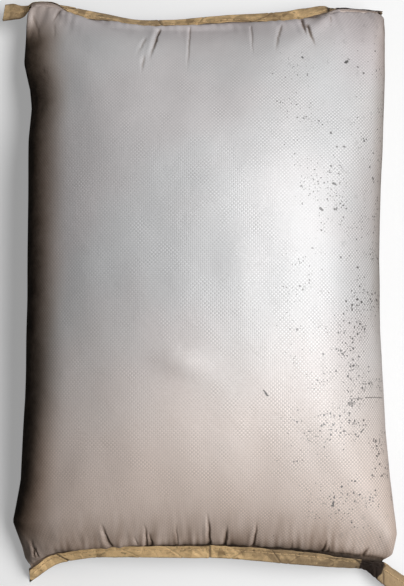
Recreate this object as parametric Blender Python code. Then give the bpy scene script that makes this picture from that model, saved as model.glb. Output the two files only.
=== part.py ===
"""A filled 50 kg cement sack lying on its back: a woven sack, its two folded kraft tapes and their sewing threads.

Metres, +Z up. X runs across the sack and +Y runs from its bottom seam to its top seam.
The origin is the middle of the flat face that the sack rests on.
"""

import math

import bmesh
import bpy
import numpy as np

# Driving dimensions of the filled sack
FILLED_THICKNESS = 0.154
WAIST_HEIGHT = 0.055  # where the side walls stand out furthest
CORNER_DIP = 0.007  # how much lower the waist lies at the two ends
FLATTENING = 0.020  # how far the round underside would reach below the floor
SECTION_POWER_TOP = 2.2  # 2 is an ellipse, and more is boxier
SECTION_POWER_UNDER = 2.7
END_POWER_ALONG_TOP = 2.0  # how the filled height falls off towards the two seams
END_POWER_ALONG_UNDER = 6.0
END_POWER_TOP = 1.4
END_POWER_UNDER = 1.0

# The hem: two plies of cloth, flat inside the folded tape
HEM_THICKNESS = 0.0010
HEM_LENGTH = 0.0215

# The folded kraft tape, across its width from the seam line
TAPE_START = 0.0030
TAPE_WIDTH = 0.0250
TAPE_SLOT_END = 0.0225
TAPE_THICKNESS = 0.0037
TAPE_PAPER = 0.0006
TAPE_FOLD_ROUND = 0.0013

# The double chain stitch: a needle thread on the upper face, a looper thread under it
THREAD_DIAMETER = 0.0012
STITCH_LINE = 0.0080  # from the seam line
THREAD_GAP = 0.0003
THREAD_END_MARGIN = 0.003

# How finely the shapes are divided
ROUND_COLUMNS = 68
LENGTH_RINGS = 40
TAPE_STATIONS = 60
PATH_SAMPLES = 600
BEND_SAMPLES = 61  # how much of the path each corner of a seam line is rounded over

# Outline of the filled sack seen from above: how far along it is, and how far out each side lies
LEFT_SIDE = (
    (-0.345, 0.2190),
    (-0.330, 0.2290),
    (-0.297, 0.2400),
    (-0.245, 0.2335),
    (-0.145, 0.2280),
    (0.000, 0.2270),
    (0.120, 0.2280),
    (0.200, 0.2285),
    (0.243, 0.2262),
    (0.268, 0.2290),
    (0.305, 0.2375),
    (0.378, 0.2340),
)
RIGHT_SIDE = (
    (-0.345, 0.2220),
    (-0.330, 0.2370),
    (-0.305, 0.2430),
    (-0.245, 0.2360),
    (-0.180, 0.2310),
    (-0.050, 0.2270),
    (0.040, 0.2280),
    (0.135, 0.2310),
    (0.190, 0.2355),
    (0.295, 0.2410),
    (0.378, 0.2400),
)

# Each seam line from left to right: x, y, z, and how steeply the tape hangs from it, in degrees
TOP_SEAM = (
    (-0.272, 0.3710, 0.028, 22),
    (-0.252, 0.3740, 0.034, 27),
    (-0.232, 0.3775, 0.040, 34),
    (-0.200, 0.3790, 0.045, 44),
    (-0.165, 0.3690, 0.048, 53),
    (-0.125, 0.3600, 0.050, 55),
    (-0.085, 0.3565, 0.050, 56),
    (-0.030, 0.3580, 0.050, 55),
    (0.040, 0.3625, 0.050, 53),
    (0.100, 0.3655, 0.050, 51),
    (0.150, 0.3730, 0.049, 57),
    (0.190, 0.3785, 0.047, 70),
    (0.243, 0.3780, 0.042, 78),
)
BOTTOM_SEAM = (
    (-0.226, -0.3620, 0.028, 60),
    (-0.212, -0.3500, 0.034, 60),
    (-0.195, -0.3395, 0.040, 57),
    (-0.165, -0.3315, 0.046, 52),
    (-0.120, -0.3280, 0.050, 48),
    (-0.040, -0.3275, 0.050, 46),
    (0.020, -0.3270, 0.050, 46),
    (0.080, -0.3310, 0.050, 46),
    (0.140, -0.3370, 0.049, 45),
    (0.185, -0.3410, 0.046, 42),
    (0.212, -0.3455, 0.040, 32),
    (0.235, -0.3560, 0.033, 20),
    (0.258, -0.3745, 0.024, 12),
    (0.280, -0.3950, 0.014, 8),
)

# Base colour, roughness and metallic value of each material
MATERIALS = {
    "woven_cloth": ((0.56, 0.55, 0.55), 0.55, 0.0),
    "kraft_paper": ((0.50, 0.36, 0.20), 0.85, 0.0),
    "sewing_thread": ((0.62, 0.54, 0.40), 0.80, 0.0),
}


def smooth_through(keys, at):
    """Values at the places asked for, on a smooth curve through rows of (place, value, ...)."""
    keys = np.array(keys, float)
    place, values = keys[:, 0], keys[:, 1:]
    slopes = np.gradient(values, place, axis=0)
    at = np.clip(at, place[0], place[-1])
    before = np.clip(np.searchsorted(place, at) - 1, 0, len(place) - 2)
    step = (place[before + 1] - place[before])[..., None]
    t = (at - place[before])[..., None] / step
    return (
        values[before] * (2 * t**3 - 3 * t**2 + 1)
        + values[before + 1] * (3 * t**2 - 2 * t**3)
        + slopes[before] * step * (t**3 - 2 * t**2 + t)
        + slopes[before + 1] * step * (t**3 - t**2)
    )


class Seam:
    """A seam line with the frame that the hem, the tape and the threads all hang in."""

    def __init__(self, keys, outward):
        keys = np.array(keys, float)
        hops = np.linalg.norm(np.diff(keys[:, :3], axis=0), axis=1)
        places = np.concatenate([[0.0], np.cumsum(hops)])
        self.length = places[-1]
        self.at = np.linspace(0.0, self.length, PATH_SAMPLES)
        window = np.hanning(BEND_SAMPLES)
        window /= window.sum()
        reach = BEND_SAMPLES // 2
        rows = np.column_stack([np.interp(self.at, places, column) for column in keys.T])
        rows = np.pad(rows, ((reach, reach), (0, 0)), mode="reflect", reflect_type="odd")
        rows = np.column_stack([np.convolve(column, window, "valid") for column in rows.T])
        self.line = rows[:, :3]
        droop = np.radians(rows[:, 3])[:, None]
        along = np.gradient(self.line, axis=0)
        along /= np.linalg.norm(along, axis=1)[:, None]
        flat = np.column_stack([-along[:, 1], along[:, 0], np.zeros(PATH_SAMPLES)])
        flat *= outward / np.linalg.norm(flat, axis=1)[:, None]
        across = np.cos(droop) * flat - np.sin(droop) * np.array([0.0, 0.0, 1.0])
        across -= (across * along).sum(axis=1)[:, None] * along
        self.across = across / np.linalg.norm(across, axis=1)[:, None]
        self.normal = outward * np.cross(along, self.across)

    def place_of(self, x):
        """How far along the seam line a point with this x lies."""
        return np.interp(x, self.line[:, 0], self.at)

    def points(self, place, width, height):
        """Points this far along the seam, this far out from it, and this far above the hem's middle."""
        columns = [
            np.column_stack([np.interp(place, self.at, rows[:, k]) for k in range(3)])
            for rows in (self.line, self.across, self.normal)
        ]
        return columns[0] + columns[1] * width + columns[2] * height


def rounded(angle, power):
    """Sine and cosine bent into a rounded box of that power."""
    bend = 2.0 / power
    cosine = np.sign(np.cos(angle)) * np.abs(np.cos(angle)) ** bend
    sine = np.sign(np.sin(angle)) * np.abs(np.sin(angle)) ** bend
    return cosine, sine


def even_angles():
    """Angles that cut the outline of a middle section into equal lengths."""
    dense = np.linspace(0.0, 2 * math.pi, 4001)
    cosine, sine = rounded(dense, SECTION_POWER_TOP)
    outline = np.column_stack([cosine * LEFT_SIDE[5][1], sine * FILLED_THICKNESS / 2])
    hops = np.linalg.norm(np.diff(outline, axis=0), axis=1)
    run = np.concatenate([[0.0], np.cumsum(hops)])
    return np.interp((np.arange(ROUND_COLUMNS) + 0.5) / ROUND_COLUMNS * run[-1], run, dense)


def mesh_of_rings(name, rings, end_faces):
    """A closed loft through rings of equal length, with the faces that close each end ring."""
    count, width = rings.shape[:2]
    shell = bmesh.new()
    corners = [[shell.verts.new(point) for point in ring] for ring in rings]
    for i in range(count - 1):
        for j in range(width):
            k = (j + 1) % width
            shell.faces.new((corners[i][j], corners[i][k], corners[i + 1][k], corners[i + 1][j]))
    for face in end_faces:
        shell.faces.new([corners[0][j] for j in face])
        shell.faces.new([corners[-1][j] for j in face])
    bmesh.ops.recalc_face_normals(shell, faces=shell.faces)
    mesh = bpy.data.meshes.new(name)
    shell.to_mesh(mesh)
    shell.free()
    return mesh


def material_of(name):
    """The material of that name, with its colour, roughness and metallic value."""
    colour, roughness, metallic = MATERIALS[name]
    material = bpy.data.materials.new(name)
    material.use_nodes = True
    shader = material.node_tree.nodes["Principled BSDF"]
    shader.inputs["Base Color"].default_value = (*colour, 1.0)
    shader.inputs["Roughness"].default_value = roughness
    shader.inputs["Metallic"].default_value = metallic
    return material


def add_object(name, data, collection, material):
    """The object that holds this mesh or curve, in the sack's collection."""
    piece = bpy.data.objects.new(name, data)
    data.materials.append(material)
    collection.objects.link(piece)
    return piece


def hem_ring(seam, left, right, width, angle):
    """A flat ring across the sack's mouth, this far out from the seam line, with the columns of a body ring."""
    x = (right + left) / 2 + (right - left) / 2 * rounded(angle, SECTION_POWER_TOP)[0]
    height = np.where(np.sin(angle) > 0, HEM_THICKNESS / 2, -HEM_THICKNESS / 2)
    height[[0, ROUND_COLUMNS // 2 - 1, ROUND_COLUMNS // 2, -1]] *= 0.5
    return seam.points(seam.place_of(x), width, height[:, None])


def sack_rings(bottom, top):
    """The sack's rings, from the bottom hem over the filled body to the top hem."""
    ends = {
        "bottom": (-LEFT_SIDE[0][1], RIGHT_SIDE[0][1]),
        "top": (-LEFT_SIDE[-1][1], RIGHT_SIDE[-1][1]),
    }
    hem = [HEM_LENGTH, HEM_LENGTH / 2, 0.0]
    angle = even_angles()
    rings = [hem_ring(bottom, *ends["bottom"], width, angle) for width in hem]
    spread, lift = rounded(angle, SECTION_POWER_TOP)
    sink = rounded(angle, SECTION_POWER_UNDER)[1]
    share = np.sin(np.linspace(-0.5, 0.5, LENGTH_RINGS + 2)[1:-1] * math.pi)
    share = np.sign(share) * (1 - (1 - np.abs(share)) ** 0.9)
    for b in share:
        middle = (LEFT_SIDE[-1][0] - LEFT_SIDE[0][0]) / 2 * b + (LEFT_SIDE[-1][0] + LEFT_SIDE[0][0]) / 2
        left = -float(smooth_through(LEFT_SIDE, np.array([middle]))[0, 0])
        right = float(smooth_through(RIGHT_SIDE, np.array([middle]))[0, 0])
        x = (right + left) / 2 + (right - left) / 2 * spread
        low = bottom.points(bottom.place_of(x), 0.0, 0.0)
        high = top.points(top.place_of(x), 0.0, 0.0)
        t = (1 + b) / 2
        y = low[:, 1] * (1 - t) + high[:, 1] * t
        swell = (1 - abs(b) ** END_POWER_ALONG_TOP) ** (1 / END_POWER_TOP)
        sag = (1 - abs(b) ** END_POWER_ALONG_UNDER) ** (1 / END_POWER_UNDER)
        seam_height = low[:, 2] if b < 0 else high[:, 2]
        waist = seam_height * (1 - sag) + (WAIST_HEIGHT - CORNER_DIP * b**4) * sag
        above = HEM_THICKNESS / 2 + (FILLED_THICKNESS - WAIST_HEIGHT) * swell
        below = HEM_THICKNESS / 2 + (WAIST_HEIGHT + FLATTENING) * sag
        z = waist + np.where(np.sin(angle) > 0, above * lift, below * sink)
        rings.append(np.column_stack([x, y, np.maximum(z, 0.0)]))
    rings += [hem_ring(top, *ends["top"], width, angle) for width in reversed(hem)]
    return np.array(rings)


def make_sack(collection, material, bottom, top):
    """The woven sack with the cement that fills it, as one closed solid with a flat hem at each end."""
    last = ROUND_COLUMNS - 1
    strip = [(j, j + 1, last - j - 1, last - j) for j in range(ROUND_COLUMNS // 2 - 1)]
    mesh = mesh_of_rings("sack", sack_rings(bottom, top), strip)
    mesh.shade_smooth()
    return add_object("sack", mesh, collection, material)


def make_tape(name, seam, collection, material):
    """A kraft tape folded over the hem: a U-shaped strip with its free tails."""
    half = TAPE_THICKNESS / 2
    inner = half - TAPE_PAPER
    fold = TAPE_WIDTH - TAPE_FOLD_ROUND
    middle = (TAPE_START + TAPE_SLOT_END) / 2
    profile = (
        (TAPE_START, half),
        (middle, half),
        (fold, half),
        (TAPE_WIDTH, half - TAPE_FOLD_ROUND),
        (TAPE_WIDTH, TAPE_FOLD_ROUND - half),
        (fold, -half),
        (middle, -half),
        (TAPE_START, -half),
        (TAPE_START, -inner),
        (middle, -inner),
        (TAPE_SLOT_END, -inner),
        (TAPE_SLOT_END, inner),
        (middle, inner),
        (TAPE_START, inner),
    )
    places = np.linspace(0.0, seam.length, TAPE_STATIONS)
    columns = [seam.points(places, width, height) for width, height in profile]
    cut = [(0, 1, 12, 13), (1, 2, 11, 12), (2, 3, 4, 5, 10, 11), (5, 6, 9, 10), (6, 7, 8, 9)]
    mesh = mesh_of_rings(name, np.stack(columns, axis=1), cut)
    return add_object(name, mesh, collection, material)


def make_thread(name, seam, side, collection, material):
    """One sewing thread, lying along the stitch line on the tape's upper (1) or under (-1) face."""
    places = np.linspace(THREAD_END_MARGIN, seam.length - THREAD_END_MARGIN, TAPE_STATIONS)
    height = side * (TAPE_THICKNESS / 2 + THREAD_GAP + THREAD_DIAMETER / 2)
    line = seam.points(places, STITCH_LINE, height)
    curve = bpy.data.curves.new(name, "CURVE")
    curve.dimensions = "3D"
    curve.bevel_depth = THREAD_DIAMETER / 2
    curve.bevel_resolution = 1
    curve.use_fill_caps = True
    spline = curve.splines.new("POLY")
    spline.points.add(len(line) - 1)
    for point, place in zip(spline.points, line):
        point.co = (*place, 1.0)
    return add_object(name, curve, collection, material)


def main():
    """Clears the scene and builds the sack in its own collection."""
    for leftover in list(bpy.data.objects):
        bpy.data.objects.remove(leftover)
    collection = bpy.data.collections.new("cement_sack")
    bpy.context.scene.collection.children.link(collection)
    cloth = material_of("woven_cloth")
    kraft = material_of("kraft_paper")
    thread = material_of("sewing_thread")
    top = Seam(TOP_SEAM, 1)
    bottom = Seam(BOTTOM_SEAM, -1)
    make_sack(collection, cloth, bottom, top)
    for end, seam in (("top", top), ("bottom", bottom)):
        make_tape(f"{end}_tape", seam, collection, kraft)
        make_thread(f"{end}_needle_thread", seam, 1, collection, thread)
        make_thread(f"{end}_looper_thread", seam, -1, collection, thread)


main()
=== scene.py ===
# A filled cement sack on its back: simulated woven cloth, two folded kraft tapes and their chain
# stitches. Metres, +Z up, the sack's length along Y, its bottom seam towards the camera.

import math

import bpy
import numpy as np
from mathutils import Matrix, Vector


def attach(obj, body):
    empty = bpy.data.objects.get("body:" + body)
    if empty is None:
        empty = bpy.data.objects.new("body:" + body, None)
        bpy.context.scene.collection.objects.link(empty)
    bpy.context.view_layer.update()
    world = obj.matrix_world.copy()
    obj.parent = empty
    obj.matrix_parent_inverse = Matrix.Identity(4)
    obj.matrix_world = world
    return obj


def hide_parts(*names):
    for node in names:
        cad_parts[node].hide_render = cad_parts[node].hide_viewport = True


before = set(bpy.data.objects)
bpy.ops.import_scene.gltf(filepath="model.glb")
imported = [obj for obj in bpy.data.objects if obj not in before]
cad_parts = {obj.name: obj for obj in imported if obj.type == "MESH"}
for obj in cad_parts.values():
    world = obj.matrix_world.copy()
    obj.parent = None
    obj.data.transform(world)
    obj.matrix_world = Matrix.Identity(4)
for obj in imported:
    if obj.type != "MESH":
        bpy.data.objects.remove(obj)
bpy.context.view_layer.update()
print("frame loaded:", ", ".join(sorted(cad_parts)))


# The view

view = {
    "tilt": 7.0,  # degrees from straight down, from the bottom seam's side
    "distance": 1.4,
    "lens": 66.67,
    "aim": (-0.0019, -0.0058, 0.06),
}


# The photo's camera: it looks down at the aim, tilted back towards the bottom seam
def makeCamera():
    tilt = math.radians(view["tilt"])
    back = Vector((0.0, -math.sin(tilt), math.cos(tilt)))
    data = bpy.data.cameras.new("photoView")
    data.lens = view["lens"]
    camera = bpy.data.objects.new("photoView", data)
    camera.location = Vector(view["aim"]) + back * view["distance"]
    camera.rotation_euler = (-back).to_track_quat("-Z", "Y").to_euler()
    bpy.context.scene.collection.objects.link(camera)
    bpy.context.scene.camera = camera


makeCamera()
print("camera placed")


# Curves and surfaces


# 0 below 0, 1 above 1, and 3t^2 - 2t^3 between
def smoothStep(t):
    t = np.clip(t, 0.0, 1.0)
    return t * t * (3.0 - 2.0 * t)


# A bell: 1 at the middle, falling as e to the minus (distance / width) squared
def bell(distance, width):
    return np.exp(-((distance / width) ** 2))


# Uneven ground: a sum of cosines of random direction, length and phase, scaled to about -1 to 1
def waves(a, b, sizeA, sizeB, seed, count=24):
    rng = np.random.default_rng(seed)
    turn = rng.uniform(0, 2 * math.pi, count)
    pace = rng.uniform(0.55, 1.7, count)
    phase = rng.uniform(0, 2 * math.pi, count)
    total = np.zeros(np.broadcast(a, b).shape)
    for k in range(count):
        run = pace[k] * (np.cos(turn[k]) * a / sizeA + np.sin(turn[k]) * b / sizeB)
        total += np.cos(2 * math.pi * run + phase[k])
    return total / math.sqrt(count * 1.6)


# Rows on a uniform cubic B-spline: the four control rows round each place, weighted by the spline's
# basis. An open one has a row more at each end, in line with the last two.
def splineRows(control, at, closed):
    first = np.floor(at).astype(int)
    t = at - first
    basis = np.stack([(1 - t) ** 3, 3 * t**3 - 6 * t**2 + 4, -3 * t**3 + 3 * t**2 + 3 * t + 1, t**3]) / 6.0
    if not closed:
        before = 2 * control[:1] - control[1:2]
        after = 2 * control[-1:] - control[-2:-1]
        control = np.concatenate([before, control, after, control[-1:]])
        first = first + 1
    pick = [(first + k - 1) % len(control) for k in range(4)]
    return sum(basis[k][:, None, None] * control[pick[k]] for k in range(4))


# Each column of the rows smoothed by a Hann window of this many rows. Past both ends the rows go
# straight on with odd, and are mirrored with even.
def smoothRows(rows, width, ends="odd"):
    window = np.hanning(width) / np.hanning(width).sum()
    rows = np.pad(rows, ((width // 2, width // 2), (0, 0)), mode="reflect", reflect_type=ends)
    return np.column_stack([np.convolve(column, window, "valid") for column in rows.T])


seamPath = {
    "samples": 600,
    "smooth": 31,  # samples over which the line's corners are rounded
    "even": 81,  # and over which the hem's direction is evened out
}


# A seam line from rows of x, y, z and droop: the line smoothed a little, with the way that the hem
# hangs (square to the line's general run, turned down by the droop) and the direction square to
# both
def seamFrame(keys, outward):
    keys = np.array(keys, float)
    hops = np.linalg.norm(np.diff(keys[:, :3], axis=0), axis=1)
    places = np.concatenate([[0.0], np.cumsum(hops)])
    at = np.linspace(0.0, places[-1], seamPath["samples"])
    rows = np.column_stack([np.interp(at, places, column) for column in keys.T])
    rows = smoothRows(rows, seamPath["smooth"])
    line, droop = rows[:, :3], np.radians(rows[:, 3])[:, None]
    along = np.gradient(line, axis=0)
    along /= np.linalg.norm(along, axis=1)[:, None]
    run = smoothRows(along, seamPath["even"], "even")
    flat = np.column_stack([-run[:, 1], run[:, 0], 0 * at])
    flat *= outward / np.linalg.norm(flat, axis=1)[:, None]
    across = np.cos(droop) * flat - np.sin(droop) * np.array([0.0, 0.0, 1.0])
    normal = outward * np.cross(run, across)
    normal /= np.linalg.norm(normal, axis=1)[:, None]
    return {
        "at": at, "length": places[-1], "line": line,
        "along": along, "across": across, "normal": normal,
    }


# Points this far along a seam, this far out across the tape and this far above the hem's middle
def onSeam(seam, place, out, up):
    place, out, up = np.broadcast_arrays(place, out, up)

    def read(rows):
        return np.stack([np.interp(place, seam["at"], rows[:, k]) for k in range(3)], axis=-1)

    beyond = place - np.clip(place, 0.0, seam["length"])
    start = read(seam["line"]) + read(seam["along"]) * beyond[..., None]
    return start + read(seam["across"]) * out[..., None] + read(seam["normal"]) * up[..., None]


# How far along a seam the point with this x lies
def placeAt(seam, x):
    return np.interp(x, seam["line"][:, 0], seam["at"])


# A smooth-shaded mesh piece, with its own pattern coordinates in metres at every face corner
def meshPiece(name, points, faceGroups, uvGroups, material, marks):
    mesh = bpy.data.meshes.new(name)
    faces = [face for group in faceGroups for face in group.tolist()]
    mesh.from_pydata(points.reshape(-1, 3).tolist(), [], faces)
    layer = mesh.uv_layers.new(name="cloth")
    layer.data.foreach_set("uv", np.concatenate([uv.reshape(-1) for uv in uvGroups]).astype(np.float32))
    for key, values in marks.items():
        mark = mesh.attributes.new(key, "FLOAT", "POINT")
        mark.data.foreach_set("value", values.reshape(-1).astype(np.float32))
    mesh.shade_smooth()
    mesh.validate()
    mesh.materials.append(material)
    piece = bpy.data.objects.new(name, mesh)
    bpy.context.scene.collection.objects.link(piece)
    return piece


# Unit normals of a grid that is closed round its first axis: the cross product of its steps along
# and round
def gridNormals(grid):
    around = np.roll(grid, -1, axis=0) - np.roll(grid, 1, axis=0)
    along = np.gradient(grid, axis=1)
    normal = np.cross(along, around)
    return normal / np.maximum(np.linalg.norm(normal, axis=-1), 1e-12)[..., None]


# Materials


# A short way to write a node tree: each call adds a node and gives back its output
class Nodes:
    def __init__(self, name):
        self.material = bpy.data.materials.new(name)
        self.material.use_nodes = True
        self.tree = self.material.node_tree
        self.shader = self.tree.nodes["Principled BSDF"]

    def put(self, socket, value):
        if isinstance(value, bpy.types.NodeSocket):
            self.tree.links.new(value, socket)
        elif isinstance(value, (tuple, list)) and socket.type == "RGBA":
            socket.default_value = (*value, 1.0)[:4]
        else:
            socket.default_value = value

    def add(self, kind, out=0, inputs=None, **settings):
        node = self.tree.nodes.new(kind)
        for key, value in settings.items():
            setattr(node, key, value)
        for key, value in (inputs or {}).items():
            self.put(node.inputs[key], value)
        return node.outputs[out]

    def math(self, operation, a, b=0.0, c=0.0):
        return self.add("ShaderNodeMath", operation=operation, inputs={0: a, 1: b, 2: c})

    def total(self, *parts):
        value = parts[0]
        for part in parts[1:]:
            value = self.math("ADD", value, part)
        return value

    def times(self, *parts):
        value = parts[0]
        for part in parts[1:]:
            value = self.math("MULTIPLY", value, part)
        return value

    def ramp(self, value, low, high, to=(0.0, 1.0), smooth=True):
        kind = "SMOOTHSTEP" if smooth else "LINEAR"
        inputs = {0: value, 1: low, 2: high, 3: to[0], 4: to[1]}
        return self.add("ShaderNodeMapRange", interpolation_type=kind, inputs=inputs)

    def mix(self, share, a, b, blend="MIX"):
        inputs = {0: share, 6: a, 7: b}
        return self.add("ShaderNodeMix", out=2, data_type="RGBA", blend_type=blend, inputs=inputs)

    # A colour made lighter or darker: its three channels times one value
    def shaded(self, colour, value):
        grey = self.add("ShaderNodeCombineColor", inputs={0: value, 1: value, 2: value})
        return self.mix(1.0, colour, grey, "MULTIPLY")

    def noise(self, where, scale, detail=3.0, rough=0.55, distort=0.0):
        inputs = {"Vector": where, "Scale": scale, "Detail": detail, "Roughness": rough}
        inputs["Distortion"] = distort
        return self.add("ShaderNodeTexNoise", inputs=inputs)

    # The same noise, less half of its range, so that it swings round 0
    def swing(self, where, scale, detail, rough, much):
        return self.times(self.math("SUBTRACT", self.noise(where, scale, detail, rough), 0.5), much)

    def cells(self, where, scale, out="Distance"):
        return self.add("ShaderNodeTexVoronoi", out=out, inputs={"Vector": where, "Scale": scale})

    def place(self, where, move=(0, 0, 0), turn=(0, 0, 0), scale=(1, 1, 1)):
        inputs = {"Vector": where, "Location": move, "Rotation": turn, "Scale": scale}
        return self.add("ShaderNodeMapping", inputs=inputs)

    def vector(self, operation, a, b, out=0):
        return self.add("ShaderNodeVectorMath", out=out, operation=operation, inputs={0: a, 1: b})

    # A soft-edged oval: 1 in its core, falling to 0 at its rim
    def oval(self, where, patch):
        x, y = patch["centre"]
        squeezed = self.place(where, scale=(patch["squeeze"], 1, 0))
        away = self.vector("DISTANCE", squeezed, (x * patch["squeeze"], y, 0), out=1)
        return self.ramp(away, patch["rim"], patch["core"])

    # Distance from the stroke between two points: to the nearest point a + t (b - a), with t from 0
    # to 1
    def strokeDistance(self, where, start, end):
        run = Vector(end) - Vector(start)
        away = self.vector("SUBTRACT", where, start)
        t = self.vector("DOT_PRODUCT", away, run / run.length_squared, out=1)
        t = self.ramp(t, 0.0, 1.0, smooth=False)
        nearest = self.add("ShaderNodeVectorMath", operation="SCALE", inputs={0: run, 3: t})
        return self.vector("DISTANCE", away, nearest, out=1)

    def mark(self, name):
        return self.add("ShaderNodeAttribute", out="Fac", attribute_name=name)

    def split(self, where):
        node = self.tree.nodes.new("ShaderNodeSeparateXYZ")
        self.put(node.inputs[0], where)
        return node.outputs

    def bump(self, height, distance, strength=1.0, normal=None):
        inputs = {"Height": height, "Distance": distance, "Strength": strength}
        if normal is not None:
            inputs["Normal"] = normal
        return self.add("ShaderNodeBump", inputs=inputs)

    def finish(self, **sockets):
        for key, value in sockets.items():
            self.put(self.shader.inputs[key.replace("_", " ")], value)
        return self.material


# Woven cloth

clothLook = {
    "tapeWidth": 1.066 / 444,  # one woven tape, in metres round the sack
    "cool": (0.600, 0.600, 0.606),
    "warm": (0.625, 0.598, 0.600),
    "dust": (0.700, 0.568, 0.492),  # settled cement dust and clay near the bottom seam
    "rosy": (0.660, 0.585, 0.605),  # and a thinner film near the top one
    "grimeAndShade": (0.030, 0.021, 0.015),  # near black: ground-in dirt, and painted shade in the creases, down the left fold and along the seams
    "stain": (0.93, 0.73, 0.55),  # how thin dirt and light painted shade tint the cloth
    "speck": (0.050, 0.047, 0.045),
    # single marks: where each stroke starts and ends, seen from above, its half width and how dark
    # it is
    "marks": (
        (0.0725, -0.1338, 0.0771, -0.1398, 0.0008, 1.00), (0.1845, 0.2925, 0.1872, 0.2950, 0.0016, 1.00),
        (0.1878, 0.2990, 0.1902, 0.2975, 0.0005, 0.70), (0.2004, 0.2875, 0.2008, 0.2870, 0.0009, 0.84),
        (0.2079, 0.2790, 0.2080, 0.2782, 0.0013, 0.84), (0.1603, 0.1909, 0.1604, 0.1900, 0.0013, 0.98),
        (0.1673, 0.1724, 0.1674, 0.1718, 0.0010, 0.84), (0.1764, 0.1730, 0.1775, 0.1726, 0.0012, 0.84),
        (0.2115, 0.1519, 0.2116, 0.1505, 0.0010, 0.84), (0.2161, 0.1378, 0.2163, 0.1366, 0.0013, 0.84),
        (0.1610, 0.1240, 0.1640, 0.1228, 0.0012, 0.98), (0.1440, 0.0905, 0.1466, 0.0885, 0.0014, 1.00),
        (0.1620, 0.0915, 0.1650, 0.0900, 0.0008, 0.84), (0.1326, 0.0402, 0.1342, 0.0400, 0.0007, 0.84),
        (0.1695, 0.0309, 0.1697, 0.0303, 0.0012, 0.84), (0.1921, 0.0203, 0.1923, 0.0200, 0.0012, 0.84),
        (0.1452, -0.0889, 0.1454, -0.0895, 0.0012, 0.84), (0.1780, -0.1490, 0.1830, -0.1482, 0.0016, 0.63),
        (0.1800, -0.1430, 0.1960, -0.1425, 0.0007, 0.49), (0.1830, -0.1740, 0.1862, -0.1700, 0.0008, 0.70),
        (0.2020, -0.1410, 0.2260, -0.1405, 0.0005, 0.70),
    ),
    "mark": (0.030, 0.026, 0.024),
    "wobble": 0.9,  # how far the woven tapes stray from a straight line
    "tone": (0.95, 1.04),  # how dark and how light the cloth's clouds are
    "worn": (0.42, 0.95),  # how far the weave shows at the left and at the right
    "weft": 0.42,  # painted light: how much darker the weft is than the warp, as if it caught less light
    "gaps": (-0.14, 0.03),  # painted shade in the gaps between the tapes, and the lightness of the tapes themselves
    "shade": (0.87, 0.93),  # lower half and top; the top's extra lightness is painted light
    "middle": 0.075,  # painted light: how much paler the middle is
    # a pool of painted light on the lower middle
    "lowPaintedLight": {"centre": (0.0273, -0.155), "squeeze": 1.1, "rim": 0.14, "core": 0.02},
    "lowPaintedLightPale": 0.13,
    # a painted highlight, where the weave is smoothed out too
    "paintedHighlight": {"centre": (0.135, 0.075), "squeeze": 1.8, "rim": 0.11, "core": 0.03},
    "paintedHighlightPale": 0.07,
    "paintedHighlightSmooth": 0.55,
    # specks: cells in a metre, share of the cells that hold one, and its largest radius in cells
    "specks": ((60.0, 0.20, 0.12), (120.0, 0.34, 0.20), (240.0, 0.50, 0.34), (430.0, 0.42, 0.36)),
    "stir": 0.0024,  # how far the specks and marks are pulled out of shape
    "roughness": 0.39,
    "dents": (0.0025, 0.22),  # height and strength of the cloth's unevenness
    "relief": (0.00022, 0.6),  # and of the weave
}


# Plain weave: the product of two sine waves, whose size is how near a place is to the middle of a
# tape. Above 0 the warp is on top, and below it the weft.
def weavePattern(n, uv, across, along):
    pace = math.pi / clothLook["tapeWidth"]
    wobble = n.swing(uv, 60.0, 2.0, 0.55, clothLook["wobble"])
    a = n.math("SINE", n.total(n.times(across, pace), wobble))
    b = n.math("SINE", n.total(n.times(along, pace), wobble))
    cell = n.times(a, b)
    size = n.math("ABSOLUTE", cell)
    return {"size": size, "warpUp": n.ramp(cell, -0.25, 0.25), "crown": n.math("POWER", size, 0.5)}


# The bare cloth's tints under dust, which lies deepest at the bottom seam and less at the top seam
# and the left fold
def dustyCloth(n, uv, across, along):
    look = clothLook
    tone = n.noise(uv, 9.0, 4.0, 0.6)
    tint = n.noise(n.place(uv, (3.1, 1.7, 0)), 5.0, 3.0, 0.5)
    colour = n.mix(n.ramp(tint, 0.38, 0.62), look["cool"], look["warm"])
    colour = n.shaded(colour, n.ramp(tone, 0.30, 0.70, look["tone"]))
    drift = n.times(n.math("SUBTRACT", tone, 0.5), 0.7)
    low = n.ramp(n.total(along, n.times(drift, 0.10)), 0.02, -0.32)
    side = n.ramp(n.total(across, n.times(drift, 0.06)), -0.16, -0.24, (0.0, 0.6))
    corner = n.times(n.ramp(along, 0.22, 0.30), n.ramp(across, 0.15, 0.22, (0.0, 0.5)))
    high = n.math("MAXIMUM", n.ramp(along, 0.305, 0.385, (0.0, 0.55)), corner)
    colour = n.mix(high, colour, look["rosy"])
    return n.mix(n.times(n.math("MAXIMUM", low, side), 0.9), colour, look["dust"])


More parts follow.
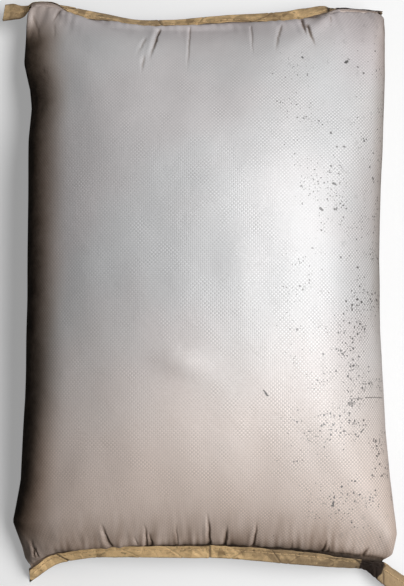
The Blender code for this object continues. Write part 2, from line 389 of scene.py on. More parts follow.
# How light each place is. The two tape directions are painted as catching the light differently, and
# painted shade sits in the gaps between tapes, both in proportion to how worn the cloth is. Its top and
# middle are painted paler, with a pool of painted light and a painted highlight.
def clothShade(n, uv, across, along, weave):
    look = clothLook
    patchy = n.swing(uv, 14.0, 4.0, 0.65, 0.9)
    paintedHighlight = n.oval(uv, look["paintedHighlight"])
    worn = n.times(
        n.ramp(n.total(across, patchy), -0.10, 0.20, look["worn"]),
        n.ramp(n.noise(uv, 55.0, 4.0, 0.7), 0.35, 0.65, (0.5, 1.2)),
        n.ramp(along, 0.22, 0.32, (1.0, 0.5)),
        n.ramp(along, -0.20, -0.33, (1.0, 0.75)),
        n.total(1.0, n.times(paintedHighlight, -look["paintedHighlightSmooth"])),
    )
    middle = n.times(n.ramp(across, -0.15, -0.03), n.ramp(across, 0.11, 0.03))
    return n.total(
        n.ramp(along, 0.10, 0.26, look["shade"]),
        n.times(worn, n.math("SUBTRACT", 0.5, weave["warpUp"]), look["weft"]),
        n.times(worn, n.ramp(weave["size"], 0.0, 0.35, look["gaps"])),
        n.times(middle, look["middle"]),
        n.times(paintedHighlight, look["paintedHighlightPale"]),
        n.times(n.oval(uv, look["lowPaintedLight"]), look["lowPaintedLightPale"]),
    )


# Specks of spilt powder and soot, crowded down the right side: one cell in a few holds a round one.
# A few smudges lie among them.
def speckled(n, uv, across, along, stir, colour):
    look = clothLook
    shaken = n.vector("ADD", uv, stir)
    crowd = n.times(
        n.ramp(across, 0.05, 0.15),
        n.ramp(n.noise(uv, 14.0, 3.0, 0.65), 0.42, 0.60, (0.2, 1.25)),
        n.ramp(along, 0.25, 0.33, (1.0, 0.35)),
    )
    none = 0.02  # the radius, in cells, where there is no speck
    for pace, share, most in look["specks"]:
        chance = n.split(n.cells(shaken, pace, out="Color"))[0]
        luck = n.total(chance, n.times(crowd, share))
        radius = n.ramp(luck, 1.0, 1.0 + share, (none, most), smooth=False)
        inside = n.ramp(n.math("SUBTRACT", radius, n.cells(shaken, pace)), -0.03, 0.0)
        there = n.ramp(radius, none + 0.001, none + 0.002, smooth=False)
        colour = n.mix(n.times(inside, there, 0.92), colour, look["speck"])
    smudge = n.noise(n.place(uv, (0.7, 0.2, 0), scale=(1, 0.6, 1)), 70.0, 4.0, 0.7)
    smudge = n.times(n.ramp(smudge, 0.58, 0.70, (0.0, 0.20)), n.ramp(across, 0.10, 0.19))
    return n.mix(smudge, colour, look["speck"])


# Single marks: short strokes of dirt, placed as seen from above
def marked(n, stir, colour):
    seen = n.place(n.add("ShaderNodeTexCoord", out=3), scale=(1, 1, 0))
    spot = n.vector("ADD", seen, stir)
    shift = clothLook["stir"] / 2  # the stir's own mean
    for x0, y0, x1, y1, size, much in clothLook["marks"]:
        near = n.strokeDistance(spot, (x0 + shift, y0 + shift, 0), (x1 + shift, y1 + shift, 0))
        near = n.math("SUBTRACT", near, size)
        colour = n.mix(n.ramp(near, 0.0006, -0.0004, (0.0, much)), colour, clothLook["mark"])
    return colour


# The cloth: dusty colour times weave shade, then specks, marks, and the dirt and painted shade that a mark
# on the mesh gives. Thin darkening tints it, and thick darkening covers it and takes its gloss.
def wovenCloth():
    n = Nodes("wovenCloth")
    look = clothLook
    uv = n.add("ShaderNodeUVMap", uv_map="cloth")
    across, along, _ = n.split(uv)
    weave = weavePattern(n, uv, across, along)
    fine = n.noise(uv, 140.0, 3.0, 0.6)
    stir = n.add("ShaderNodeTexNoise", out=1, inputs={"Vector": uv, "Scale": 400.0})
    stir = n.place(stir, scale=(look["stir"], look["stir"], 0))
    colour = n.shaded(dustyCloth(n, uv, across, along), clothShade(n, uv, across, along, weave))
    colour = speckled(n, uv, across, along, stir, colour)
    colour = marked(n, stir, colour)
    soilAndShade = n.times(n.mark("soilAndShade"), n.total(0.78, n.times(n.noise(uv, 48.0, 4.0, 0.65), 0.44)))
    soilAndShade = n.math("MINIMUM", soilAndShade, 1.0)
    colour = n.mix(soilAndShade, colour, n.mix(1.0, colour, look["stain"], "MULTIPLY"))
    colour = n.mix(soilAndShade, colour, look["grimeAndShade"])

    height = n.total(n.times(weave["crown"], 0.8), n.times(weave["warpUp"], 0.2), n.times(fine, 0.35))
    normal = n.bump(n.noise(uv, 30.0, 3.0, 0.5, 0.6), *look["dents"])
    normal = n.bump(height, *look["relief"], normal)
    rough = n.total(n.times(fine, 0.16), n.times(soilAndShade, 0.25), look["roughness"])
    gloss = n.ramp(soilAndShade, 0.0, 0.9, (1.0, 0.12), smooth=False)
    return n.finish(Base_Color=colour, Roughness=rough, Normal=normal, Specular_IOR_Level=gloss, IOR=1.7)


# Seam lines: x, y and z of the place where the two plies meet, and how far the hem droops there, in
# degrees

topSeamKeys = (
    (-0.2685, 0.3715, 0.028, 12),
    (-0.2435, 0.3730, 0.033, 12),
    (-0.2380, 0.3790, 0.036, 40),
    (-0.2335, 0.3915, 0.041, 78),
    (-0.215, 0.3915, 0.044, 80),
    (-0.200, 0.3885, 0.046, 74),
    (-0.187, 0.3785, 0.047, 56),
    (-0.172, 0.3690, 0.048, 45),
    (-0.158, 0.3642, 0.049, 42),
    (-0.124, 0.3622, 0.050, 54),
    (-0.112, 0.3570, 0.050, 49),
    (-0.094, 0.3538, 0.050, 49),
    (-0.072, 0.3522, 0.050, 47),
    (-0.031, 0.3528, 0.050, 46),
    (0.005, 0.3576, 0.050, 48),
    (0.043, 0.3602, 0.050, 47),
    (0.069, 0.3602, 0.050, 44),
    (0.095, 0.3596, 0.050, 39),
    (0.115, 0.3590, 0.050, 33),
    (0.129, 0.3640, 0.049, 37),
    (0.150, 0.3698, 0.048, 43),
    (0.166, 0.3740, 0.047, 44),
    (0.177, 0.3800, 0.047, 66),
    (0.190, 0.3815, 0.046, 80),
    (0.242, 0.3785, 0.042, 86),
)
bottomSeamKeys = (
    (-0.2345, -0.3665, 0.016, 57),
    (-0.2210, -0.3566, 0.026, 58),
    (-0.2100, -0.3484, 0.031, 58),
    (-0.1995, -0.3393, 0.036, 52),
    (-0.1850, -0.3355, 0.041, 57),
    (-0.1500, -0.3295, 0.047, 58),
    (-0.1300, -0.3272, 0.049, 55),
    (-0.1000, -0.3256, 0.050, 51),
    (-0.0200, -0.3251, 0.050, 47),
    (0.0200, -0.3243, 0.050, 45),
    (0.0500, -0.3263, 0.050, 45),
    (0.1100, -0.3306, 0.050, 41),
    (0.1400, -0.3336, 0.049, 43),
    (0.1650, -0.3377, 0.048, 49),
    (0.1900, -0.3417, 0.045, 56),
    (0.2050, -0.3437, 0.041, 60),
    (0.2170, -0.3455, 0.036, 48),
    (0.2340, -0.3505, 0.030, 24),
    (0.2420, -0.3560, 0.026, 13),
    (0.2580, -0.3671, 0.020, 8),
    (0.2800, -0.3830, 0.014, 6),
)
topSeam = seamFrame(topSeamKeys, 1)
bottomSeam = seamFrame(bottomSeamKeys, -1)


# The sack's cloth, filled by simulation

sackCut = {
    "layFlat": 0.533,  # width of the empty woven tube
    "length": 0.742,  # between its two seams
    "bottomMouth": (-0.2250, 0.2335),  # where each seam starts and ends
    "topMouth": (-0.2355, 0.2415),
    "endRun": 0.20,  # share of the length over which the tube narrows to a mouth
    "sideRound": 0.065,
    "hem": 0.0215,
    "hemThickness": 0.0010,
    "middle": 0.018,  # y of the empty tube's middle
    "clear": 0.003,  # how high it is held over the floor
}
sackFill = {
    "volume": 0.0345,  # cubic metres of cement powder
    "density": 0.15,
    "pressure": 1000,
    "stretch": 200,  # the cloth's stiffness along its tapes
    "squash": 20,
    "shear": 3,
    "bending": 3.0,
    "mass": 0.005,
    "air": 3.0,
    "thickness": 0.001,
    "floorGrip": 5,
    "columns": 100,
    "rows": 72,
    "steps": 34,
    "closeBy": 15,
    "crown": 0.006,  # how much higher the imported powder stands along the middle
}
skinMesh = {
    "over": 560,  # columns over the top
    "ratio": 4,  # columns over the top to one column below
    "rows": 133,
    "crowd": 0.72,  # how much the rows crowd together at the seams
}
# How far out each side of the filled sack lies, along its length
leftSide = (
    (-0.355, 0.2260), (-0.329, 0.2325), (-0.297, 0.2445), (-0.244, 0.2345), (-0.143, 0.2295),
    (-0.014, 0.2285), (0.118, 0.2295), (0.199, 0.2305), (0.242, 0.2278), (0.267, 0.2305),
    (0.305, 0.2398), (0.357, 0.2385), (0.385, 0.2365),
)
rightSide = (
    (-0.352, 0.2370), (-0.312, 0.2455), (-0.298, 0.2445), (-0.244, 0.2385), (-0.181, 0.2335),
    (-0.053, 0.2285), (0.039, 0.2285), (0.134, 0.2320), (0.188, 0.2360), (0.281, 0.2405),
    (0.365, 0.2430),
)


# Where the tube's columns meet a seam: evenly spaced from the mouth's right end over the top to its
# left end, and back underneath
def mouthPlaces(seam, mouth, u):
    left, right = placeAt(seam, mouth[0]), placeAt(seam, mouth[1])
    return right + (left - right) * 2 * np.where(u < 0.5, u, 1 - u)


# The empty sack held open: each ring is two straight runs and two half circles, and rings narrow to
# the mouths
def openTube(columns, rows):
    cut = sackCut
    u, v = np.meshgrid((np.arange(columns) + 0.5) / columns, np.linspace(0, 1, rows + 1), indexing="ij")
    low = np.ptp(placeAt(bottomSeam, cut["bottomMouth"]))
    high = np.ptp(placeAt(topSeam, cut["topMouth"]))
    half = cut["layFlat"] + (low - cut["layFlat"]) * (1 - smoothStep(v / cut["endRun"]))
    half = half + (high - cut["layFlat"]) * (1 - smoothStep((1 - v) / cut["endRun"]))
    r = cut["sideRound"]
    flat, turn = half - math.pi * r, math.pi * r / 2
    s = np.where(u < 0.5, u, 1 - u) * 2 * half  # how far over the top, from the right side to the left
    right, left = np.minimum(s, turn) / r, np.maximum(s - turn - flat, 0.0) / r
    x = flat / 2 + r * np.cos(right) - np.clip(s - turn, 0.0, flat) - r * np.sin(left)
    y = (v - 0.5) * cut["length"] + cut["middle"]
    z = r * np.sin(right) - r * (1 - np.cos(left))
    return np.stack([x, y, r + cut["clear"] + np.where(u < 0.5, z, -z)], axis=-1)


# The tube as a mesh with its two mouths pinned, and a shape key that moves them from open to closed
def pinnedTube(tube, closed):
    columns, rows = tube.shape[0], tube.shape[1] - 1
    index = np.arange(columns * (rows + 1)).reshape(columns, rows + 1)
    ahead = np.roll(index, -1, axis=0)
    faces = np.stack([index[:, :-1], index[:, 1:], ahead[:, 1:], ahead[:, :-1]], axis=-1).reshape(-1, 4)
    mesh = bpy.data.meshes.new("emptySack")
    mesh.from_pydata(tube.reshape(-1, 3).tolist(), [], faces.tolist())
    skin = bpy.data.objects.new("emptySack", mesh)
    bpy.context.scene.collection.objects.link(skin)
    skin.shape_key_add(name="Basis")
    key = skin.shape_key_add(name="closed")
    key.data.foreach_set("co", closed.reshape(-1).astype(np.float32))
    for frameNumber, value in ((1, 0.0), (sackFill["closeBy"], 1.0)):
        key.value = value
        key.keyframe_insert("value", frame=frameNumber)
    pins = skin.vertex_groups.new(name="mouths")
    pins.add(index[:, [0, -1]].ravel().tolist(), 1.0, "REPLACE")
    return skin


# A thick box whose top lies just under the floor's height
def simulationFloor():
    bpy.ops.mesh.primitive_cube_add(size=2, location=(0, 0, -1 - sackCut["clear"]))
    ground = bpy.context.object
    ground.modifiers.new("Collision", "COLLISION")
    ground.collision.thickness_outer = 2 * sackFill["thickness"]
    ground.collision.cloth_friction = sackFill["floorGrip"]
    return ground


# Cloth simulation: the tube's two mouths close onto the seam lines while the fill's volume holds it out
def fillSack():
    fill = sackFill
    tube = openTube(fill["columns"], fill["rows"])
    closed = tube.copy()
    u = (np.arange(fill["columns"]) + 0.5) / fill["columns"]
    lift = np.where(u < 0.5, 0.0006, -0.0006)  # the upper ply just above the under one
    for row, seam, key in ((0, bottomSeam, "bottomMouth"), (-1, topSeam, "topMouth")):
        closed[:, row] = onSeam(seam, mouthPlaces(seam, sackCut[key], u), 0.0, lift)
    skin, ground = pinnedTube(tube, closed), simulationFloor()
    cloth = skin.modifiers.new("Cloth", "CLOTH")
    how = cloth.settings
    how.quality, how.mass, how.air_damping = 6, fill["mass"], fill["air"]
    how.tension_stiffness, how.compression_stiffness = fill["stretch"], fill["squash"]
    how.shear_stiffness, how.bending_stiffness = fill["shear"], fill["bending"]
    how.use_pressure, how.uniform_pressure_force = True, 0.0
    how.use_pressure_volume, how.target_volume = True, fill["volume"]
    how.pressure_factor, how.fluid_density = fill["pressure"], fill["density"]
    how.vertex_group_mass = "mouths"
    cloth.collision_settings.distance_min = fill["thickness"]
    cloth.collision_settings.collision_quality = 4
    scene = bpy.context.scene
    for step in range(1, fill["steps"] + 1):
        scene.frame_set(step)
    shaped = skin.evaluated_get(bpy.context.evaluated_depsgraph_get()).data
    points = np.empty(tube.size, np.float32)
    shaped.vertices.foreach_get("co", points)
    for leftover in (skin, ground):
        bpy.data.objects.remove(leftover)
    scene.frame_set(1)
    return points.astype(float).reshape(tube.shape)


# Takes out folds narrower than about 13 cm, away from the mouths: G is a 1-2-1 blur run twenty
# times each way, and the filter is 2G - GG
def calmCloth(grid):
    rounds = max(1, round(20 * (sackFill["columns"] / 100) ** 2))

    def blur(g):
        for _ in range(rounds):
            g = (np.roll(g, 1, axis=0) + 2 * g + np.roll(g, -1, axis=0)) / 4
            g = np.concatenate([g[:, :1], (g[:, :-2] + 2 * g[:, 1:-1] + g[:, 2:]) / 4, g[:, -1:]], axis=1)
        return g

    once = blur(grid)
    calm = 2 * once - blur(once)
    v = np.linspace(0, 1, grid.shape[1])[None, :, None]
    share = smoothStep((np.minimum(v, 1 - v) - 0.01) / 0.07)
    return grid + (calm - grid) * share * 0.85


# Lifts the upper side by a flat-topped dome: height times (1 - |x / half width| cubed), fading to
# the seams
def domeCrown(grid):
    half = np.abs(grid[..., 0]).max(axis=0)
    ends = np.sin(math.pi * np.linspace(0, 1, grid.shape[1])) ** 0.5
    rise = sackFill["crown"] * ends * (1 - np.clip(np.abs(grid[..., 0]) / half, 0, 1) ** 3)
    rise[len(grid) // 2 :] = 0.0
    return grid + np.stack([0 * rise, 0 * rise, rise], axis=-1)


# Moves each side of every ring onto the outline, more the nearer a point is to that side
def fitSides(grid, v):
    middle = (grid[..., 0].max(axis=0) + grid[..., 0].min(axis=0)) / 2
    ends = smoothStep(np.minimum(v, 1 - v) / 0.02)
    for side, table in ((1, rightSide), (-1, leftSide)):
        reach = (side * (grid[..., 0] - middle)).max(axis=0)
        edge = (side * (grid[..., 0] - middle)).argmax(axis=0)
        y = grid[edge, np.arange(grid.shape[1]), 1]
        table = np.array(table)
        gap = ends * (np.interp(y, table[:, 0], table[:, 1]) - side * middle - reach)
        share = np.clip(side * (grid[..., 0] - middle) / reach, 0.0, 1.0) ** 3
        grid = grid + np.stack([side * share * gap, 0 * share, 0 * share], axis=-1)
    return grid


packing = {
    "leftRise": 0.024,  # how much higher the powder stands along the left side than simulated
    "leftAt": 0.475,  # where that is, as a share of the way round from the right side over the top
    "topDrop": 0.017,  # how much lower it is behind the top seam
    "bottomDrop": 0.008,  # and before the bottom one
}


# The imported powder's own shape: a long rise along the left side that falls off faster below it, and
# a hollow at each seam. Each is a bell across the sack times smooth steps along it.
def packPowder(grid, u, v):
    x, y = grid[..., 0], grid[..., 1]
    away = (u - packing["leftAt"])[:, None]
    flank = np.exp(-(np.abs(away / np.where(away < 0, 0.10, 0.05)) ** 1.5))
    rise = packing["leftRise"] * flank * smoothStep((0.36 - y) / 0.22) * smoothStep((y + 0.37) / 0.20)
    upper = (u < 0.5)[:, None]
    behind = smoothStep((1 - v) / 0.05) * (1 - smoothStep((0.32 - y) / 0.20))
    rise = rise - upper * packing["topDrop"] * bell(x + 0.04, 0.11) * behind
    before = smoothStep(v / 0.04) * (1 - smoothStep((y + 0.33) / 0.16))
    rise = rise - upper * packing["bottomDrop"] * bell(x + 0.05, 0.14) * before
    return grid + np.stack([0 * rise, 0 * rise, rise], axis=-1)


# Creases on the upper side, seen from above: x and y of the deep end, x and y of the faint end,
# depth, half width and bow
creases = (
    (-0.0590, 0.3420, -0.0710, 0.2890, 0.0032, 0.0021, 0.0010),
    (-0.0755, 0.3243, -0.0870, 0.2966, 0.0009, 0.0016, 0.0),
    (-0.0765, 0.2930, -0.0791, 0.2732, 0.0010, 0.0016, 0.0),
    (-0.0176, 0.3440, -0.0209, 0.2657, 0.0010, 0.0013, 0.0),
    (0.0634, 0.3450, 0.0632, 0.2900, 0.0009, 0.0013, 0.0),
    (0.1019, 0.3450, 0.0922, 0.2964, 0.0012, 0.0016, -0.0010),
    (0.1310, 0.3600, 0.1352, 0.3269, 0.0034, 0.0023, 0.0),
    (0.1375, 0.3480, 0.1461, 0.3104, 0.0022, 0.0022, 0.0),
    (0.1700, 0.3660, 0.1690, 0.3520, 0.0010, 0.0016, 0.0),
    (-0.2116, 0.2896, -0.1976, 0.2721, 0.0007, 0.0016, 0.0),
    (-0.2290, 0.3700, -0.2146, 0.3201, 0.0007, 0.0023, 0.0015),
    (-0.1925, 0.3780, -0.2020, 0.3540, 0.0009, 0.0020, 0.0),
    (-0.1985, 0.3530, -0.1950, 0.3300, 0.0005, 0.0020, 0.0),
    (-0.1159, -0.3250, -0.1256, -0.2937, 0.0032, 0.0020, -0.0020),
    (-0.0710, -0.3240, -0.0738, -0.2955, 0.0021, 0.0015, 0.0008),
    (-0.0643, -0.3240, -0.0668, -0.3061, 0.0017, 0.0014, 0.0),
    (-0.0830, -0.3230, -0.0865, -0.3120, 0.0009, 0.0013, 0.0),
    (-0.0322, -0.3240, -0.0345, -0.2921, 0.0010, 0.0013, 0.0),
    (0.0082, -0.3240, 0.0054, -0.2800, 0.0029, 0.0016, 0.0),
    (0.0270, -0.3245, 0.0297, -0.2960, 0.0027, 0.0023, 0.0),
    (0.0622, -0.3260, 0.0663, -0.2923, 0.0029, 0.0016, 0.0006),
    (0.1100, -0.3300, 0.1112, -0.3150, 0.0008, 0.0014, 0.0),
    (0.1500, -0.3345, 0.1545, -0.3143, 0.0023, 0.0016, 0.0),
    (0.1560, -0.3345, 0.1585, -0.3240, 0.0013, 0.0014, 0.0),
    (-0.2147, -0.3400, -0.2174, -0.3150, 0.0020, 0.0018, 0.0),
    (-0.2101, -0.3400, -0.2138, -0.3260, 0.0019, 0.0016, 0.0),
    (0.2030, -0.3400, 0.2095, -0.3260, 0.0019, 0.0018, 0.0),
)


# One crease: a valley along a bowed line. Its right wall is steep, its left side rolls up into a ridge, and
# both fade towards the faint end. Gives how far it lifts the cloth, and how dark its valley is made, from 0
# to 1: painted shade with dirt.
def creaseAt(x, y, crease):
    x0, y0, x1, y1, depth, half, bow = crease
    run = math.hypot(x1 - x0, y1 - y0)
    t = ((x - x0) * (x1 - x0) + (y - y0) * (y1 - y0)) / run**2
    s = ((x - x0) * (y1 - y0) - (y - y0) * (x1 - x0)) / run * math.copysign(1, y1 - y0)
    s = s - bow * 4 * t * (1 - t) + 0.0006 * waves(x, y, 0.014, 0.014, int(1e4 * abs(x0)))
    width = half * (1.25 - 0.5 * np.clip(t, 0, 1))
    fade = smoothStep((t + 0.12) / 0.12) * (1 - smoothStep((t - 0.3) / 0.7))
    valley = bell(s, np.where(s > 0, 0.6, 1.5) * width)
    ridge = 0.2 * bell(s + 2.8 * width, 1.6 * width)
    shadeAndDirt = min(1.0, depth / 0.0018) ** 1.3 * fade * bell(s - 0.1 * width, 0.6 * width)
    return depth * fade * (ridge - valley), shadeAndDirt


underCreases = {
    "count": 11,  # at each seam, out of the photograph's sight
    "reach": (0.025, 0.06),
    "depth": (0.0008, 0.002),
    "half": (0.003, 0.004),
    "lean": 0.012,
}
softLump = {"at": (-0.028, -0.101), "height": 0.0036, "size": (0.028, 0.0125), "slant": 0.2}


# All creases of one sack: how far they lift each point along its normal, and how dark they are made by
# painted shade with dirt
def allCreases(x, y, upper):
    push, soilAndShade = 0.0 * x, 0.0 * x
    for crease in creases:
        lift, shadeAndDirt = creaseAt(x, y, crease)
        push, soilAndShade = push + upper * lift, np.maximum(soilAndShade, upper * shadeAndDirt)
    rng = np.random.default_rng(11)
    look = underCreases
    for seam, way in ((topSeam, -1), (bottomSeam, 1)):
        strays = rng.uniform(-look["lean"], look["lean"], look["count"])
        for start in np.linspace(-0.20, 0.20, look["count"]) + strays:
            y0 = np.interp(start, seam["line"][:, 0], seam["line"][:, 1]) + way * 0.003
            lean, reach = rng.uniform(-look["lean"], look["lean"]), rng.uniform(*look["reach"])
            depth, half = rng.uniform(*look["depth"]), rng.uniform(*look["half"])
            lift, shadeAndDirt = creaseAt(x, y, (start, y0, start + lean, y0 + way * reach, depth, half, 0.0))
            push, soilAndShade = push + ~upper * lift, np.maximum(soilAndShade, ~upper * shadeAndDirt * 0.5)
    return push, soilAndShade


# The unevenness of the filled cloth: long low waves, puckers along each seam and one soft lump
def clothWaves(x, y, across, along, near, upper):
    lump = softLump
    push = 0.0004 * waves(across, along, 0.09, 0.13, 5) * smoothStep(near / 0.03)
    pucker = np.exp(-near / 0.020) * smoothStep(near / 0.004)
    push = push + 0.0010 * waves(across, along, 0.014, 0.09, 8) * pucker
    dx, dy = x - lump["at"][0], y - lump["at"][1]
    dy = dy + lump["slant"] * dx
    return push + upper * lump["height"] * bell(dx, lump["size"][0]) * bell(dy, lump["size"][1])


# The sack's skin: the simulated cloth resampled on an even spline grid, pushed out or in along its
# normals, with a flat hem at each mouth
def makeSack(material):
    rough = fillSack()
    print("sack filled: %.1f mm thick" % (1000 * rough[..., 2].max()))
    control = domeCrown(calmCloth(rough))
    over, rows = skinMesh["over"], skinMesh["rows"]
    under = over // skinMesh["ratio"]
    u = np.concatenate([(np.arange(over) + 0.5) / over / 2, 0.5 + (np.arange(under) + 0.5) / under / 2])
    t = np.linspace(0, 1, rows + 1)
    v = t - skinMesh["crowd"] * np.sin(2 * math.pi * t) / (2 * math.pi)
    grid = splineRows(control, u * sackFill["columns"] - 0.5, True)
    grid = splineRows(grid.swapaxes(0, 1), v * sackFill["rows"], False).swapaxes(0, 1)
    grid = packPowder(fitSides(grid, v), u, v)
    length, girth = sackCut["length"], 2 * sackCut["layFlat"]
    across = (0.25 - u)[:, None] * girth + 0 * v
    along = (v - 0.5)[None, :] * length + 0.013 + 0 * across
    x, y, low, high = grid[..., 0], grid[..., 1], v * length, (1 - v) * length
    upper = (u < 0.5)[:, None]
    near = np.minimum(low, high)  # distance to the nearer seam
    push, soilAndShade = allCreases(x, y, upper)
    push = push + clothWaves(x, y, across, along, near, upper)
    # the cloth tucks in along each seam
    push = push * smoothStep(near / 0.003) - 0.0020 * bell(near - 0.0032, 0.0022)
    grid = grid + gridNormals(grid) * push[..., None]
    grid[..., 2] = np.maximum(grid[..., 2], 0.0)
    return finishSack(grid, x, y, u, low, high, across, along, soilAndShade, girth, material)


sackDirtAndShade = {
    "fold": 0.98,  # painted shade with dirt down the left fold, and how far it reaches
    "foldReach": 0.060,
    "rim": 0.35,  # a thin line of painted shade down the right side's edge
    "tapeShade": 0.35,  # painted shadow beside the top tape's thick end
    "knot": 0.7,  # painted shade with dirt at the bottom tape's knot of folds
    "band": 0.74,  # along the bottom seam, and how far it reaches
    "bandReach": 0.036,
    "topBand": 0.10,
    # painted shade with dirt in the crease valleys
    "creases": 0.75,
}


# Painted shade with dirt down the left fold, the side that faces away from the key light: a band that fades
# inwards and at both corners, and is patchy on the lower side
def foldShadeAndDirt(x, y, below):
    inside = x + np.interp(y, *np.array(leftSide).T)
    fold = sackDirtAndShade["fold"] * (1 - smoothStep((inside - 0.003) / sackDirtAndShade["foldReach"]))
    fold = fold * (0.15 + 0.85 * smoothStep((0.372 - y) / 0.045))
    fold = fold * (0.15 + 0.85 * smoothStep((y + 0.335) / 0.04))
    patches = 0.55 + 0.25 * waves(y, 4 * below, 0.06, 1.0, 43)
    return fold * (1 - below * patches.clip(0, 0.9))


# Darker down the right side, fainter in the lower third, with a thin line of painted shade along the edge
def rightSideDarkening(x, y):
    inside = np.interp(y, *np.array(rightSide).T) - x
    upward = smoothStep((y + 0.10) / 0.1)
    edge = (0.08 + 0.14 * upward) * (1 - smoothStep((inside - 0.002) / 0.022))
    edge = edge + 0.12 * upward * (1 - smoothStep(inside / 0.075))
    return edge + sackDirtAndShade["rim"] * upward * bell(inside + 0.001, 0.0035)


# The dark line where the cloth meets each tape, painted shadow with dirt, wider where the top tape stands
# off it, and a painted shadow beside the top tape's thick end
def seamShadowAndDirt(x, low, high):
    growing = smoothStep((x - 0.02) / 0.10)
    gap = smoothStep((x - 0.060) / 0.008) * (1 - smoothStep((x - 0.116) / 0.008))
    line = bell(low, 0.0035 + 0.0025 * growing) * (0.62 + 0.33 * growing)
    line = line + (0.35 + 0.55 * gap) * bell(high, 0.0035 + 0.004 * gap)
    return line + sackDirtAndShade["tapeShade"] * bell(x - 0.142, 0.022) * bell(high, 0.016)


# The streaky band of dirt along the bottom seam, and a faint one along the top seam
def bandDirt(x, y, low, high):
    streaks = 1 + 0.30 * waves(x, y, 0.011, 0.07, 41) + 0.20 * waves(x, y, 0.035, 0.09, 42)
    band = sackDirtAndShade["band"] * np.exp(-((low / sackDirtAndShade["bandReach"]) ** 1.4))
    band = band * (1 - 0.6 * smoothStep((x - 0.15) / 0.05)) + sackDirtAndShade["topBand"] * np.exp(-high / 0.03)
    return band * streaks.clip(0.2, None) * (0.35 + 0.65 * smoothStep((x + 0.215) / 0.06))


# How dark each point is made by dirt and painted shade, from 0 to 1: 1 less the product of what each kind
# leaves clean
def soilAndShadeShare(x, y, low, high, creased, below):
    knot = sackDirtAndShade["knot"] * bell(low, 0.0055) * smoothStep((x - 0.165) / 0.03)
    clean = (1 - foldShadeAndDirt(x, y, below)) * (1 - rightSideDarkening(x, y)) * (1 - np.clip(seamShadowAndDirt(x, low, high), 0, 1))
    clean = clean * (1 - knot) * (1 - bandDirt(x, y, low, high)) * (1 - sackDirtAndShade["creases"] * creased)
    return np.clip(1 - clean, 0, 1)


# The hem's rows, from each seam line out to the cut edge, and the closed mesh
def finishSack(grid, x, y, u, low, high, across, along, soilAndShade, girth, material):
    # 0 over the top, 1 from 3 cm below the left fold
    below = smoothStep((u - 0.503) / 0.03)[:, None] + 0 * x
    soilAndShade = soilAndShadeShare(x, y, low, high, soilAndShade, below)
    hemOut = np.array([sackCut["hem"], 0.014, 0.007, 0.002])
    lift = (np.where(u < 0.5, 1, -1) * sackCut["hemThickness"] / 2)[:, None]
    ends = []
    for seam, key in ((bottomSeam, "bottomMouth"), (topSeam, "topMouth")):
        ends.append(onSeam(seam, mouthPlaces(seam, sackCut[key], u)[:, None], hemOut[None], lift))
    grid = np.concatenate([ends[0], grid, ends[1][:, ::-1]], axis=1)
    soilAndShade = np.pad(soilAndShade, ((0, 0), (len(hemOut), len(hemOut))), mode="edge")
    first, last = along[:, :1], along[:, -1:]
    along = np.concatenate([first - hemOut, along, last + hemOut[::-1]], axis=1)
    across = np.repeat(across[:, :1], along.shape[1], axis=1)
    return closedSkin("sackCloth", grid, across, along, girth, material, soilAndShade)


# Quads round and along the grid. Each flat end is closed from ply to ply: a column of the under ply
# meets the middle one of the upper columns above it, so the strips between them have several
# corners.
def closedSkin(name, grid, across, along, girth, material, soilAndShade):
    columns, rows = grid.shape[:2]
    index = np.arange(columns * rows).reshape(columns, rows)
    ahead = np.roll(index, -1, axis=0)
    skin = np.stack([index[:, :-1], index[:, 1:], ahead[:, 1:], ahead[:, :-1]], axis=-1).reshape(-1, 4)
    over, ratio = skinMesh["over"], skinMesh["ratio"]
    under = columns - over
    m = np.arange(under - 1)[:, None]
    middle = over - ratio * m - (ratio // 2 + 1)
    strip = np.concatenate([middle - ratio + np.arange(ratio + 1)[None], over + m, over + m + 1], axis=1)
    leftCorner = np.arange(over - ratio // 2 - 1, over + 1)
    rightCorner = np.append(np.arange(ratio - ratio // 2), columns - 1)
    caps = []
    for end, order in ((0, 1), (rows - 1, -1)):
        caps.append(index[strip, end][:, ::order])
        caps += [index[corner, end][None, ::order] for corner in (leftCorner, rightCorner)]
    flat = np.stack([across, along], axis=-1).reshape(-1, 2)
    uv = flat[skin]
    uv[(columns - 1) * (rows - 1) :, 2:, 0] -= girth  # the last column's faces close the round
    uvGroups = [uv] + [flat[cap] for cap in caps]
    return meshPiece(name, grid, [skin] + caps, uvGroups, material, {"soilAndShade": soilAndShade})


cloth = wovenCloth()
sack = makeSack(cloth)
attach(sack, "root")
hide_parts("sack")
print("sack made")


# Kraft tapes

paperLook = {
    "light": (0.95, 0.655, 0.335),
    "dark": (0.36, 0.235, 0.115),
    "worn": (0.47, 0.385, 0.275),
    "soilAndShade": (0.024, 0.014, 0.010),
    "lump": (0.0012, 0.6),  # height and strength of the paper's unevenness
    "crepe": (0.00035, 0.8),
}


